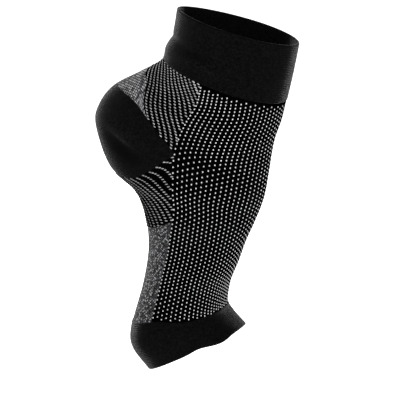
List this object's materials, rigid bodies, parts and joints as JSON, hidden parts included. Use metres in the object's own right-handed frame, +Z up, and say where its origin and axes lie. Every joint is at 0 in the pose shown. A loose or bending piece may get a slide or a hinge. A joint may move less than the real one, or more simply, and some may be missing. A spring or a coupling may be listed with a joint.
{
  "type": "foot compression sleeve",
  "caption": "Open-toe knitted compression sleeve with a doubled ankle cuff, a shaped heel pocket, ribbed and speckled support zones, a dotted instep and a forefoot band.",
  "frame": {"origin": "centre of the cuff's rim, where the ankle enters", "axes": "+X forward, towards the toe side of a worn sleeve; +Y to the wearer's left, the outer side of this left sleeve; +Z up"},
  "size_m": [0.1352, 0.092, 0.2359],
  "materials": {
    "black_knit": "matt plain knit in black nylon and elastane",
    "dotted_knit": "black knit with staggered pale tuck stitches",
    "rib_knit": "black rib knit with pale stitches along each rib",
    "speckled_knit": "fine black and white speckled knit"
  },
  "bodies": {
    "root": {"ankle_cuff": "black_knit", "ankle_rib_panel": "rib_knit", "achilles_panel": "speckled_knit", "heel_pocket": "black_knit", "arch_rib_panel": "rib_knit", "arch_panel": "speckled_knit", "instep_panel": "dotted_knit", "forefoot_band": "black_knit"}
  },
  "joints": []
}
